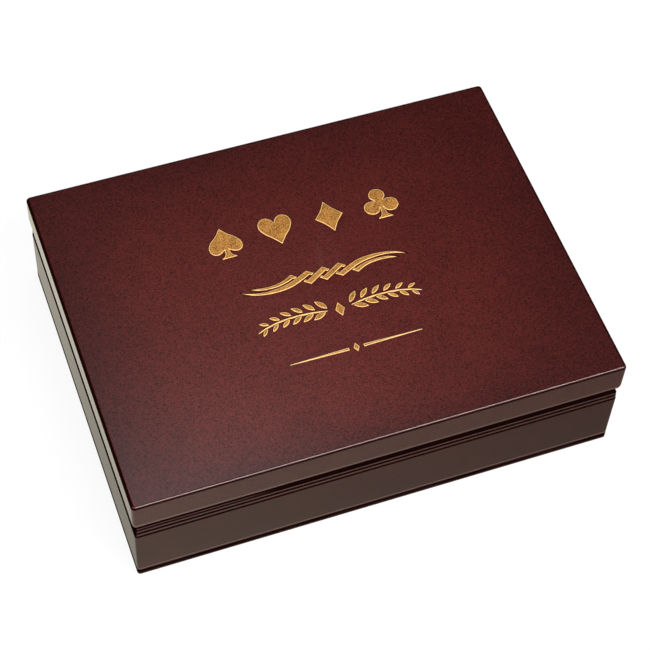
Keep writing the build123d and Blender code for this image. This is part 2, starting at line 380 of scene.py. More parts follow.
def makeLacquer(name, depth, coat, worn, leftLoss):
    p, white = lacquer, (1.0, 1.0, 1.0)
    material, tree, shader = newMaterial(
        name, SpecularIORLevel=0.0, CoatRoughness=p["coatRoughness"], CoatIOR=p["coatIndex"]
    )
    colour = mixColour(tree, useGroup(tree, edgeShade, **p["fades"])["Mask"], p["middle"], p["edge"])
    broad = cloudy(tree, p["cloudSize"], 4.0, 0.3)
    grain = cloudy(tree, p["grainSize"], 3.0, 0.3)
    colour = tinted(tree, colour, mixColour(tree, broad, white, p["cloudy"]))
    colour = tinted(tree, colour, mixColour(tree, grain, white, p["grainy"]))
    colour = tinted(tree, colour, (depth, depth, depth))
    dust = useGroup(tree, specks, Spacing=p["dustSpacing"], Size=p["dustSize"])["Mask"]
    colour = mixColour(tree, times(tree, dust, p["dustShare"]), colour, p["dust"])
    turning, bands = useGroup(tree, arrisMask), useGroup(tree, mouldingBands)
    # painted highlight: a paler colour on the rounded edges that look down, such as the walls' foot
    colour = mixColour(tree, times(tree, turning["Under"], worn), colour, p["worn"])
    # painted highlight: a pinkish colour in the middle of the front's rounded edges
    colour = mixColour(tree, times(tree, turning["Shine"], p["rubbedShare"]), colour, p["rubbed"])
    # painted shade: the colour goes nearly black along the arrises and in the grooves of the moulding, from
    # an occlusion mask and the moulding's shade bands
    hidden = addNode(tree, "ShaderNodeAmbientOcclusion", samples=12, only_local=True)
    feed(tree, hidden, Distance=p["grooveReach"])
    sunk = highest(tree, remap(tree, hidden.outputs["AO"], *p["grooveShade"]), bands["Dark"])
    edges = times(tree, turning["Mask"], remap(tree, turning["Shine"], 0.0, 1.0, p["arrisShare"], 0.0))
    colour = mixColour(tree, highest(tree, sunk, edges), colour, p["groove"])
    # painted highlights: the same pale colour along the walls' foot, the slab's lower edge and the bead
    feed(tree, shader, BaseColor=mixColour(tree, bands["Light"], colour, p["worn"]))
    # the coat is weakened in the grooves, on most rounded edges and on the left faces, painting shade into
    # their reflections, and by the grain; it is strengthened in the middle of the front's rounded edges for a
    # painted highlight
    dull = highest(
        tree,
        times(tree, bands["Dark"], p["grooveLoss"]),
        times(tree, turning["Away"], p["awayLoss"]),
        times(tree, bands["Left"], leftLoss),
        times(tree, turning["Turn"], p["turnLoss"], remainder(tree, turning["Shine"])),
    )
    bare = maths(tree, "ADD", dull, times(tree, grain, p["grainLoss"]))
    rubbed = times(tree, turning["Shine"], remainder(tree, bands["Dark"]))
    gain = remap(tree, rubbed, 0.0, 1.0, 1.0, p["rubbedGain"])
    feed(tree, shader, CoatWeight=times(tree, remap(tree, bare, 1.0, 0.0), coat, gain))
    feed(tree, shader, Roughness=remap(tree, grain, 0.0, 1.0, *p["roughness"]))
    bump(tree, shader, cloudy(tree, p["peelSize"], 2.0, 0.4), p["peelHeight"])
    return material


footLook = {
    "colour": (0.005, 0.0012, 0.0009),
    "worn": (0.013, 0.0040, 0.0030),
    "bare": (0.050, 0.028, 0.024),
    "scuffed": (0.0024, 0.0009),
    "fibreScale": (60.0, 700.0, 700.0),
    "fibreHeight": 0.00003,
    "roughness": (0.62, 0.85),
}


def makeShadedFootBoard():
    # the board under the walls: nearly black, partly as painted shade under the walls, left matt, and lighter
    # along its foot as painted light where that shade thins
    p = footLook
    material, tree, shader = newMaterial("shadedFootBoard", SpecularIORLevel=0.0)
    place = objectPlace(tree)
    fibres = noiseAt(tree, stretched(tree, place, p["fibreScale"]), 1.0, 4.0)[0]
    share = remap(tree, fibres, 0.4, 0.7)
    scuffed = remap(tree, axesOf(tree, place)["Z"], *p["scuffed"])
    colour = mixColour(tree, share, p["colour"], p["worn"])
    feed(tree, shader, BaseColor=mixColour(tree, scuffed, colour, p["bare"]))
    feed(tree, shader, Roughness=remap(tree, share, 0.0, 1.0, *p["roughness"]))
    bump(tree, shader, share, p["fibreHeight"])
    return material


velvetLook = {
    "colour": (0.010, 0.010, 0.012),
    "light": (0.030, 0.030, 0.034),
    "sheen": (0.55, 0.55, 0.62, 1.0),
    "pileSize": 0.00035,
    "pileShare": 0.45,
    "pileHeight": 0.00010,
    "pileStrength": 0.8,
    "brushedSize": 0.014,
    "brushedShare": 0.2,
}


def makeVelvet():
    p = velvetLook
    material, tree, shader = newMaterial(
        "blackVelvet", Roughness=0.95, SpecularIORLevel=0.15, SheenWeight=0.55, SheenRoughness=0.35,
        SheenTint=p["sheen"],
    )
    pile = cloudy(tree, p["pileSize"], 3.0, 0.3)
    brushed = cloudy(tree, p["brushedSize"], 2.0, 0.18)
    share = maths(tree, "ADD", times(tree, pile, p["pileShare"]), times(tree, brushed, p["brushedShare"]))
    feed(tree, shader, BaseColor=mixColour(tree, share, p["colour"], p["light"]))
    bump(tree, shader, pile, p["pileHeight"], p["pileStrength"])
    return material


feltLook = {
    "colour": (0.018, 0.018, 0.020),
    "fibre": (0.055, 0.055, 0.058),
    "fibreSize": 0.0006,
    "fibreHeight": 0.00012,
    "twistScale": 260.0,
    "twistShare": 0.02,
}


def makeFelt():
    p = feltLook
    material, tree, shader = newMaterial("blackFelt", Roughness=1.0, SpecularIORLevel=0.1, SheenWeight=0.3)
    place = objectPlace(tree)
    bent = mixColour(tree, p["twistShare"], place, noiseAt(tree, place, p["twistScale"], 2.0)["Color"])
    share = remap(tree, noiseAt(tree, bent, 1 / p["fibreSize"], 5.0)[0], 0.42, 0.62)
    feed(tree, shader, BaseColor=mixColour(tree, share, p["colour"], p["fibre"]))
    bump(tree, shader, share, p["fibreHeight"])
    return material


brassLook = {
    "bright": (0.80, 0.57, 0.24),
    "dull": (0.46, 0.29, 0.11),
    "dullShare": 0.6,
    "dullSize": 0.004,
    "brushSize": 0.00018,
    "brushStretch": (0.06, 1.0, 1.0),
    "brushHeight": 0.000006,
    "roughness": (0.18, 0.16, 0.12),   # plain, and what brushing and tarnish add
}


def makeBrass():
    p = brassLook
    material, tree, shader = newMaterial("satinBrass", Metallic=1.0)
    brush = noiseAt(tree, stretched(tree, objectPlace(tree), p["brushStretch"]), 1 / p["brushSize"], 3.0)[0]
    tarnish = cloudy(tree, p["dullSize"], 5.0, 0.16)
    colour = mixColour(tree, times(tree, tarnish, p["dullShare"]), p["bright"], p["dull"])
    plain, brushed, dulled = p["roughness"]
    rough = maths(tree, "ADD", times(tree, brush, brushed), times(tree, tarnish, dulled))
    feed(tree, shader, BaseColor=colour, Roughness=maths(tree, "ADD", rough, plain))
    bump(tree, shader, brush, p["brushHeight"])
    return material


goldLook = {
    "light": (0.50, 0.235, 0.050),
    "deep": (0.115, 0.038, 0.004),
    "rim": (1.0, 0.62, 0.24),
    "rimReach": (0.38, 0.8),
    "rimShare": 0.9,
    "grainSize": 0.00045,
    "grainShare": 0.72,
    "grainHeight": 0.00003,
    "patchSize": 0.0025,
    "patchShare": 0.28,
    "roughness": (0.36, 0.60),
}


def makeGold():
    p = goldLook
    material, tree, shader = newMaterial("goldFill", Metallic=0.25, SpecularIORLevel=0.25)
    grain = cloudy(tree, p["grainSize"], 2.0, 0.12)
    patch = cloudy(tree, p["patchSize"], 3.0, 0.2)
    share = maths(tree, "ADD", times(tree, grain, p["grainShare"]), times(tree, patch, p["patchShare"]))
    colour = mixColour(tree, share, p["light"], p["deep"])
    # painted highlight: a lighter colour near the gold's rim, added to the light that the rim's real rounding
    # catches
    nearRim = addNode(tree, "ShaderNodeAttribute", attribute_name="nearRim").outputs["Fac"]
    rim = times(tree, remap(tree, nearRim, *p["rimReach"]), p["rimShare"])
    feed(tree, shader, BaseColor=mixColour(tree, rim, colour, p["rim"]))
    feed(tree, shader, Roughness=remap(tree, grain, 0.0, 1.0, *p["roughness"]))
    bump(tree, shader, grain, p["grainHeight"])
    return material


# finishes with one cloudy pattern: its size, detail and contrast, two colours, two roughnesses and the height
plainLooks = {
    "nickelPlate": {
        "pattern": (0.0012, 4.0, 0.2),
        "colours": ((0.66, 0.64, 0.60), (0.50, 0.48, 0.45)),
        "roughness": (0.22, 0.36),
        "height": 0.000001,
        "plain": {"Metallic": 1.0},
    },
    # the walls and floor of the cut round the gold: near black, a painted shade of the recess
    "cutShade": {
        "pattern": (0.0005, 3.0, 0.25),
        "colours": ((0.020, 0.006, 0.003), (0.045, 0.016, 0.006)),
        "roughness": (0.7, 0.95),
        "height": 0.00002,
        "plain": {"SpecularIORLevel": 0.2},
    },
}


def makePlainFinish(name):
    p = plainLooks[name]
    material, tree, shader = newMaterial(name, **p["plain"])
    haze = cloudy(tree, *p["pattern"])
    feed(tree, shader, BaseColor=mixColour(tree, haze, *p["colours"]))
    feed(tree, shader, Roughness=remap(tree, haze, 0.0, 1.0, *p["roughness"]))
    bump(tree, shader, haze, p["height"])
    return material


burgundyLacquer, wallLacquer = [makeLacquer(name, **values) for name, values in coats.items()]
shadedFootBoard = makeShadedFootBoard()
blackVelvet = makeVelvet()
blackFelt = makeFelt()
satinBrass = makeBrass()
goldFill = makeGold()
nickelPlate, cutShade = [makePlainFinish(name) for name in plainLooks]
print("finishes made")


# pieces

def addPiece(name, mesh, body, slot, *materials):
    piece = bpy.data.objects.new(name, mesh)
    bpy.context.scene.collection.objects.link(piece)
    mesh.materials.clear()
    for material in materials:
        mesh.materials.append(material)
    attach(piece, body)
    return piece


def meshFrom(bm, name, smoothAngle=30.0):
    mesh = bpy.data.meshes.new(name)
    bm.to_mesh(mesh)
    bm.free()
    mesh.shade_smooth()
    mesh.set_sharp_from_angle(angle=radians(smoothAngle))
    return mesh


def evenShading(piece):
    # rounded edges take the shading, large faces stay flat
    even = piece.modifiers.new("evenShading", "WEIGHTED_NORMAL")
    even.mode, even.weight, even.keep_sharp = "FACE_AREA", 50, True


def roundEdges(bm, edges, offset, segments, clamp=False):
    bmesh.ops.bevel(
        bm, geom=edges, offset=offset, offset_type="OFFSET", segments=segments, profile=0.5,
        affect="EDGES", material=-1, clamp_overlap=clamp,
    )


def shifted(bm, verts, *place):
    bmesh.ops.translate(bm, vec=place, verts=verts)


def sized(bm, *factors):
    bmesh.ops.scale(bm, vec=factors if len(factors) == 3 else factors * 3, verts=bm.verts)


def evaluatedMesh(piece, name):
    bpy.context.view_layer.update()
    mesh = bpy.data.meshes.new_from_object(piece.evaluated_get(bpy.context.evaluated_depsgraph_get()))
    mesh.name = name
    return mesh


def mergedCopy(node, scale=1.0):
    # the node's shape with its loose triangles joined and its flat faces whole
    bm = bmesh.new()
    bm.from_mesh(cadNodes[node].data)
    bmesh.ops.remove_doubles(bm, verts=bm.verts, dist=0.000002)
    bmesh.ops.dissolve_limit(bm, angle_limit=radians(0.6), verts=bm.verts, edges=bm.edges)
    sized(bm, scale)
    return bm


# engraved ornament on the lid, in millimetres about the middle of the ornament

ornament = {
    "centre": (2.6, 2.4),
    "depth": 0.36,
    "trench": 0.14,      # how far the cut stands outside the outlines
    "margin": 6.0,       # the ornament stays this far inside the board's outline
    "cutBelow": (0.01, 0.9),
    "shrink": 0.06,      # how far the gold stays inside them
    "rim": 0.42,
    "rimDrop": 0.10,
    "rimStep": 0.06,
    "netCell": 0.25,
    "goldBelow": 0.03,
    "goldAbove": 0.05,   # its underside above the bottom of the cut
    "goldStagger": 0.004,
    "pipLine": 22.6,
    "pipPlaces": (-28.6, -9.6, 9.6, 28.6),
    "sprayLine": -15.6,
    "ruleLine": -31.8,
}

# outlines: (x, y) is a smooth point, (x, y, 1) a corner
upperTail = [
    (-26.5, 1.15, 1), (-23.0, 0.66), (-19.3, 0.48), (-16.1, 0.88), (-13.6, 1.70), (-11.25, 2.93, 1),
    (-9.5, 1.42, 1), (-10.45, 0.90, 1), (-11.0, 1.24, 1), (-13.3, 0.33), (-16.5, -0.43),
    (-19.6, -0.57), (-23.2, -0.15),
]
lowerTail = [
    (-29.9, 0.75, 1), (-26.2, -0.62), (-22.0, -1.28), (-17.6, -1.12), (-13.6, -0.41), (-9.7, 1.03),
    (-5.72, 2.90, 1), (-3.5, 1.25, 1), (-4.4, 0.62, 1), (-5.05, 1.15, 1), (-7.7, -0.17),
    (-10.5, -1.37), (-13.1, -2.19), (-16.6, -2.60), (-21.0, -2.47), (-25.2, -1.62), (-28.2, -0.30),
]
strand = [
    (-5.73, -2.80, 1), (-8.05, -1.00, 1), (-7.20, -0.46, 1), (-6.45, -0.95, 1),
    (0.01, 2.88, 1), (2.20, 1.12, 1), (1.30, 0.56, 1), (0.68, 1.04, 1),
]
heart = [
    (0, -6.3, 1), (2.3, -3.3), (4.9, -0.3), (5.95, 2.5), (4.9, 5.1), (2.9, 5.8), (0.9, 4.8),
    (0, 3.2, 1),
    (-0.9, 4.8), (-2.9, 5.8), (-4.9, 5.1), (-5.95, 2.5), (-4.9, -0.3), (-2.3, -3.3),
]
spade = [
    (0, 6.5, 1), (2.2, 3.7), (4.8, 1.2), (5.95, -1.5), (4.9, -3.9), (2.9, -4.2), (0.75, -2.9, 1),
    (1.25, -5.0), (2.9, -6.5, 1), (-2.9, -6.5, 1), (-1.25, -5.0), (-0.75, -2.9, 1),
    (-2.9, -4.2), (-4.9, -3.9), (-5.95, -1.5), (-4.8, 1.2), (-2.2, 3.7),
]
diamond = [
    (0, 6.7, 1), (2.25, 3.1), (5.1, 0, 1), (2.25, -3.1), (0, -6.7, 1), (-2.25, -3.1),
    (-5.1, 0, 1), (-2.25, 3.1),
]
club = [
    (1.62, 1.25, 1), (2.85, 3.2), (2.1, 5.4), (0, 6.3), (-2.1, 5.4), (-2.85, 3.2), (-1.62, 1.25, 1),
    (-3.4, 1.5), (-5.4, 0.75), (-6.2, -1.3), (-5.3, -3.4), (-3.3, -4.2), (-1.3, -3.4), (-0.7, -2.1, 1),
    (-1.2, -4.9), (-2.9, -6.5, 1), (2.9, -6.5, 1), (1.2, -4.9), (0.7, -2.1, 1),
    (1.3, -3.4), (3.3, -4.2), (5.3, -3.4), (6.2, -1.3), (5.4, 0.75), (3.4, 1.5),
]
leaf = [(0, 0, 1), (1.5, 0.95), (3.4, 1.02), (5.4, 0, 1), (3.4, -0.72), (1.5, -0.62)]
lozenge = [(0, 2.9, 1), (1.7, 0, 1), (0, -2.9, 1), (-1.7, 0, 1)]
sprayStem = [
    (4.2, 0.66, 1), (9.0, 1.55), (17.0, 1.95), (25.0, 0.75), (29.4, -0.95, 1),
    (29.1, -1.20, 1), (25.0, 0.15), (17.0, 1.30), (9.0, 0.95), (4.3, 0.36, 1),
]
rule = [
    (-23.5, 0.13, 1), (-12.0, 0.34), (-2.6, 0.55, 1), (-2.6, -0.55, 1), (-12.0, -0.34), (-23.5, -0.13, 1),
]

spray = {
    "leaves": 6,
    "shrink": 0.07,
    "pair": ((0.0, 0.55, 34), (0.9, -0.75, -36)),   # along the stem, across it, and turned
    "start": (4.0, 0.2),
    "reach": 25.0,
    "arch": 1.9,
    "droop": 1.6,
    "lean": (16.0, 34.0),
}


def placed(outline, x=0.0, y=0.0, turn=0.0, size=1.0, mirrored=False):
    c, s = cos(radians(turn)) * size, sin(radians(turn)) * size
    flip = -1 if mirrored else 1
    points = []
    for px, py, *corner in outline:
        points.append((flip * (c * px - s * py) + x, s * px + c * py + y, *corner))
    return points


def stemPoint(t):
    # place and lean of a leaf along the spray's stem, t from 0 to 1
    x, y = spray["start"]
    lean, turn = spray["lean"]
    arch = spray["arch"] * sin(pi * min(1.0, 0.12 + 0.78 * t))
    return x + spray["reach"] * t, y + arch - spray["droop"] * t ** 3, lean - turn * t


def ornamentOutlines():
    outlines = []
    for turn in (0.0, 180.0):
        outlines += [placed(part, turn=turn) for part in (upperTail, lowerTail, strand)]
    pips = (spade, heart, diamond, club)
    outlines += [placed(pip, x, ornament["pipLine"]) for pip, x in zip(pips, ornament["pipPlaces"])]
    sprayY = ornament["sprayLine"]
    outlines.append(placed(lozenge, 0, sprayY))
    for mirrored in (False, True):
        side = -1 if mirrored else 1
        outlines.append(placed(sprayStem, 0, sprayY, mirrored=mirrored))
        for k in range(spray["leaves"]):
            x, y, lean = stemPoint(k / spray["leaves"])
            size = 1.0 - spray["shrink"] * k
            for ahead, across, turn in spray["pair"]:
                place = side * (x + ahead), sprayY + y + across
                outlines.append(placed(leaf, *place, lean + turn, size, mirrored))
        outlines.append(placed(rule, 0, ornament["ruleLine"], mirrored=mirrored))
    outlines.append(placed(lozenge, 0, ornament["ruleLine"], size=0.62))
    x, y = ornament["centre"]
    return [placed(outline, x, y) for outline in outlines]


def flatShape(outline, grow, low, high):
    # a closed slab of the outline between two heights, in millimetres
    turns = sum(a[0] * b[1] - b[0] * a[1] for a, b in zip(outline, outline[1:] + outline[:1]))
    if turns > 0:
        outline = outline[::-1]
    curve = bpy.data.curves.new("outline", "CURVE")
    curve.dimensions = "2D"
    curve.fill_mode = "BOTH"
    curve.resolution_u = 6
    curve.offset = grow
    curve.extrude = (high - low) / 2
    spline = curve.splines.new("BEZIER")
    spline.bezier_points.add(len(outline) - 1)
    spline.use_cyclic_u = True
    for point, (x, y, *corner) in zip(spline.bezier_points, outline):
        point.co = (x, y, 0)
        point.handle_left_type = point.handle_right_type = "VECTOR" if corner else "AUTO"
    holder = bpy.data.objects.new("outline", curve)
    bpy.context.scene.collection.objects.link(holder)
    mesh = evaluatedMesh(holder, "outline")
    bpy.data.objects.remove(holder)
    bm = bmesh.new()
    bm.from_mesh(mesh)
    bpy.data.meshes.remove(mesh)
    bmesh.ops.remove_doubles(bm, verts=bm.verts, dist=0.0005)
    bmesh.ops.recalc_face_normals(bm, faces=bm.faces)
    shifted(bm, bm.verts, 0, 0, (low + high) / 2)
    return bm


def pour(bm, other):
    # adds other to bm and frees it
    mesh = bpy.data.meshes.new("shape")
    other.to_mesh(mesh)
    other.free()
    bm.from_mesh(mesh)
    bpy.data.meshes.remove(mesh)


def netBlock(shape, low, high, cell):
    # a block round the shape whose upper face is an even net
    xs, ys = [v.co.x for v in shape.verts], [v.co.y for v in shape.verts]
    wide, deep = max(xs) - min(xs) + 2 * cell, max(ys) - min(ys) + 2 * cell
    cells = [max(2, round(side / cell)) for side in (wide, deep)]
    bm = bmesh.new()
    bmesh.ops.create_grid(bm, x_segments=cells[0], y_segments=cells[1], size=0.5)
    sized(bm, wide, deep, 1)
    shifted(bm, bm.verts, (max(xs) + min(xs)) / 2, (max(ys) + min(ys)) / 2, high)
    rim = [e for e in bm.edges if e.is_boundary]
    grown = bmesh.ops.extrude_edge_only(bm, edges=rim)["geom"]
    shifted(bm, [g for g in grown if isinstance(g, bmesh.types.BMVert)], 0, 0, low - high)
    bmesh.ops.edgeloop_fill(bm, edges=[e for e in bm.edges if e.is_boundary])
    bmesh.ops.recalc_face_normals(bm, faces=bm.faces)
    return bm


def gildedShape(outline, low, high):
    # a slab of gold with a rounded rim, and each of its points' nearness to the outline, from 0 to 1
    shape = flatShape(outline, -ornament["shrink"], low, high + 1)
    block = netBlock(shape, low - 1, high, ornament["netCell"])
    bm = combined(block, shape, "INTERSECT")
    upper = [f for f in bm.faces if f.normal.z > 0.9]
    marks = []
    for edge in {e for f in upper for e in f.edges}:
        if any(abs(f.normal.z) < 0.5 for f in edge.link_faces):
            steps = max(1, round(edge.calc_length() / ornament["rimStep"]))
            marks += [edge.verts[0].co.lerp(edge.verts[1].co, k / steps) for k in range(steps + 1)]
    tree = kdtree.KDTree(len(marks))
    for k, mark in enumerate(marks):
        tree.insert(mark, k)
    tree.balance()
    upperVerts = {v for f in upper for v in f.verts}
    nearness = []
    for vert in bm.verts:
        near = 0.0
        if vert in upperVerts:
            near = max(0.0, 1 - tree.find(vert.co)[2] / ornament["rim"])
            vert.co.z -= ornament["rimDrop"] * near ** 2
        nearness.append(near)
    return bm, nearness


def temporary(bm, name):
    mesh = bpy.data.meshes.new(name)
    bm.to_mesh(mesh)
    bm.free()
    piece = bpy.data.objects.new(name, mesh)
    bpy.context.scene.collection.objects.link(piece)
    return piece


def combined(bm, otherBm, operation):
    # bm less otherBm, or what both share
    block, cutter = temporary(bm, "block"), temporary(otherBm, "cutter")
    cut = block.modifiers.new("cut", "BOOLEAN")
    cut.operation, cut.solver, cut.use_self, cut.object = operation, "EXACT", True, cutter
    mesh = evaluatedMesh(block, "cut")
    for spare in (block, cutter):
        bpy.data.objects.remove(spare)
    result = bmesh.new()
    result.from_mesh(mesh)
    bpy.data.meshes.remove(mesh)
    return result


def makeEngravedBoard(outlines):
    top = lidTop / mm
    cutters = bmesh.new()
    for outline in outlines:
        pour(cutters, flatShape(outline, ornament["trench"], top - ornament["depth"], top + 1))
    bm = combined(mergedCopy("lid_top_board", 1000.0), cutters, "DIFFERENCE")
    sized(bm, mm)
    margin = ornament["margin"] * mm
    least, most = ornament["cutBelow"]
    # the cut's faces take the second finish, its painted shade
    for face in bm.faces:
        centre = face.calc_center_median()
        inside = abs(centre.x) < halfWidth - margin and abs(centre.y) < halfDepth - margin
        sunk = lidTop - most * mm < centre.z < lidTop - least * mm
        face.material_index = 1 if inside and sunk else 0
    mesh = meshFrom(bm, "lidTopBoard", 35)
    board = addPiece("engraved_top_board", mesh, "lid", "lacquered_wood", burgundyLacquer, cutShade)
    evenShading(board)
    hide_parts("lid_top_board")


def makeGoldFill(outlines):
    top = lidTop / mm - ornament["goldBelow"]
    bottom = top - ornament["depth"] + ornament["goldAbove"]
    bm = bmesh.new()
    nearness = []
    for k, outline in enumerate(outlines):
        # crossing outlines end at slightly different heights
        shape, near = gildedShape(outline, bottom, top - ornament["goldStagger"] * (k % 3))
        pour(bm, shape)
        nearness += near
    sized(bm, mm)
    mesh = meshFrom(bm, "goldOrnament", 50)
    mesh.attributes.new("nearRim", "FLOAT", "POINT").data.foreach_set("value", nearness)
    addPiece("gold_ornament", mesh, "lid", "brass", goldFill)


placedOutlines = ornamentOutlines()
makeEngravedBoard(placedOutlines)
print("engraved board made")
makeGoldFill(placedOutlines)
print("gold made")


# lacquered wood, metal and their small parts

nodeFinishes = (
    ("_wall", wallLacquer), ("_rail", burgundyLacquer), ("lid_top_board", burgundyLacquer),
    ("bottom_board", shadedFootBoard), ("hinge", satinBrass), ("magnet", nickelPlate),
    ("felt_base_pad", blackFelt), ("", blackVelvet),
)
for node, piece in cadNodes.items():
    finish = next(material for mark, material in nodeFinishes if mark in node)
    piece.data.materials.clear()
    piece.data.materials.append(finish)

screwSize = {
    "headRadius": 1.42,
    "shankRadius": 0.72,
    "headDepth": 1.3,
    "headEdge": (0.12, 0.1),
    "length": 7.0,
    "pointLength": 1.4,
    "slotWidth": 0.38,
    "slotDepth": 0.35,
    "below": 0.03,
    "apart": 14.0,
    "setback": 3.0,
    "turns": (12, 97, 150, 64, 33, 118, 81, 5),
}


def makeScrewShape():
    # one slotted countersunk screw pointing down from z = 0, in millimetres
    bm = bmesh.new()
    s = screwSize
    inset, drop = s["headEdge"]
    profile = [
        (0, 0), (s["headRadius"] - inset, 0), (s["headRadius"], -drop), (s["shankRadius"], -s["headDepth"]),
        (s["shankRadius"], -s["length"] + s["pointLength"]), (0, -s["length"]),
    ]
    verts = [bm.verts.new((x, 0, z)) for x, z in profile]
    edges = [bm.edges.new(pair) for pair in zip(verts, verts[1:])]
    bmesh.ops.spin(
        bm, geom=verts + edges, cent=(0, 0, 0), axis=(0, 0, 1), dvec=(0, 0, 0), angle=2 * pi, steps=32,
        use_merge=True,
    )
    bmesh.ops.remove_doubles(bm, verts=bm.verts, dist=0.0005)
    bmesh.ops.recalc_face_normals(bm, faces=bm.faces)
    slotBm = bmesh.new()
    bmesh.ops.create_cube(slotBm, size=1.0)
    sized(slotBm, 3 * s["headRadius"], s["slotWidth"], 2 * s["slotDepth"])
    return combined(bm, slotBm, "DIFFERENCE")


def turned(bm, verts, angle, axis):
    bmesh.ops.rotate(bm, cent=(0, 0, 0), matrix=Matrix.Rotation(angle, 3, axis), verts=verts)


def makeScrews():
    shape = makeScrewShape()
    mesh = bpy.data.meshes.new("screwShape")
    shape.to_mesh(mesh)
    shape.free()
    turns = iter(screwSize["turns"])
    for side, facing in (("base", 1), ("lid", -1)):
        for hand in ("left", "right"):
            low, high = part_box(side + "_hinge_leaf_" + hand)
            faceZ = (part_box("base_back_wall")[1].z if facing > 0 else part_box("lid_back_rail")[0].z) / mm
            bm = bmesh.new()
            for along in (-1, 1):
                bm.from_mesh(mesh)
                new = bm.verts[-len(mesh.vertices):]
                turned(bm, new, radians(next(turns)), "Z")
                if facing < 0:
                    turned(bm, new, pi, "X")
                x = (low.x + high.x) / 2 / mm + along * screwSize["apart"] / 2
                y = low.y / mm + screwSize["setback"]
                shifted(bm, new, x, y, faceZ - facing * screwSize["below"])
            sized(bm, mm)
            name = side + "_hinge_screws_" + hand
            addPiece(name, meshFrom(bm, name), side, "brass", satinBrass)
    bpy.data.meshes.remove(mesh)


makeScrews()
print("screws made")


# velvet-wrapped strips and bars

wrapping = {"round": 0.32, "segments": 3, "minAngle": 40.0}


def wrapInVelvet(node, body):
    bm = mergedCopy(node)
    edges = [e for e in bm.edges if e.is_manifold and e.calc_face_angle() > radians(wrapping["minAngle"])]
    roundEdges(bm, edges, wrapping["round"] * mm, wrapping["segments"], clamp=True)
    mesh = meshFrom(bm, node + "Velvet", 60)
    piece = addPiece("velvet_" + node, mesh, body, "velvet", blackVelvet)
    evenShading(piece)
    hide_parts(node)


for node in sorted(cadNodes):
    if node.endswith(("_liner", "_bar", "_divider")):
        wrapInVelvet(node, "lid" if node.startswith("lid_") else "base")
print("velvet strips made")


# padded panels, blown up by cloth simulation at a larger size; lengths in millimetres

pads = {
    "lid_pad": {"facing": -1, "cell": 2.4, "cap": 2.6, "pressure": 4.0, "fill": 0.6, "body": "lid"},
    "left_well_pad": {"facing": 1, "cell": 2.2, "cap": 0.55, "pressure": 3.0, "fill": 0.8, "body": "base"},
    "right_well_pad": {"facing": 1, "cell": 2.2, "cap": 0.55, "pressure": 3.0, "fill": 0.8, "body": "base"},
    "dice_channel_pad": {"facing": 1, "cell": 1.6, "cap": 0.45, "pressure": 3.0, "fill": 0.8, "body": "base"},
}
padShape = {
    "crownPower": 5,
    "evenShare": 0.45,    # of the lift; the rest follows the simulation
    "blownShare": 0.55,
    "blownGain": 1.15,
    "slack": 0.10,
    "slackScale": 90,
    "edgePower": 14,      # the rim is drawn in and down
    "edgeDrop": 0.35,
    "pullPower": 12,
    "pull": 0.5,
}
cloth = {
    "scale": 5.0,
    "frames": 20,
    "settings": {"tension_stiffness": 8, "shear_stiffness": 4, "bending_stiffness": 0.3},
}


def slabOf(node, facing, cell):
    # the pad's box as a closed slab with an even net, its glued face first
    low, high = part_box(node)
    size = high - low
    bm = bmesh.new()
    cells = [round(side / mm / cell) for side in (size.x, size.y)]
    bmesh.ops.create_grid(bm, x_segments=cells[0], y_segments=cells[1], size=0.5)
    sized(bm, size.x, size.y, 1)
    glued = low.z if facing > 0 else high.z
    shifted(bm, bm.verts, (low.x + high.x) / 2, (low.y + high.y) / 2, glued)
    grown = bmesh.ops.extrude_face_region(bm, geom=bm.faces[:])
    shifted(bm, [g for g in grown["geom"] if isinstance(g, bmesh.types.BMVert)], 0, 0, facing * size.z)
    bmesh.ops.recalc_face_normals(bm, faces=bm.faces)
    bm.verts.index_update()
    return bm, [v.index for v in bm.verts if abs(v.co.z - glued) < 0.1 * mm]


def blowUp(bm, gluedVerts, pressure):
    # how each point of the slab moves when its free face is blown up
    sized(bm, cloth["scale"])
    holder = temporary(bm, "slab")
    start = [v.co.copy() for v in holder.data.vertices]
    group = holder.vertex_groups.new(name="glued")
    group.add(gluedVerts, 1.0, "REPLACE")
    blown = holder.modifiers.new("cloth", "CLOTH")
    blown.settings.vertex_group_mass = "glued"
    blown.settings.use_pressure = True
    blown.settings.uniform_pressure_force = pressure
    blown.settings.effector_weights.gravity = 0.0
    for name, value in cloth["settings"].items():
        setattr(blown.settings, name, value)
    blown.point_cache.frame_end = cloth["frames"]
    scene = bpy.context.scene
    for step in range(1, cloth["frames"] + 1):
        scene.frame_set(step)
    mesh = evaluatedMesh(holder, "blown")
    moves = [(v.co - a) / cloth["scale"] for v, a in zip(mesh.vertices, start)]
    scene.frame_set(1)
    bpy.data.objects.remove(holder)
    bpy.data.meshes.remove(mesh)
    return moves


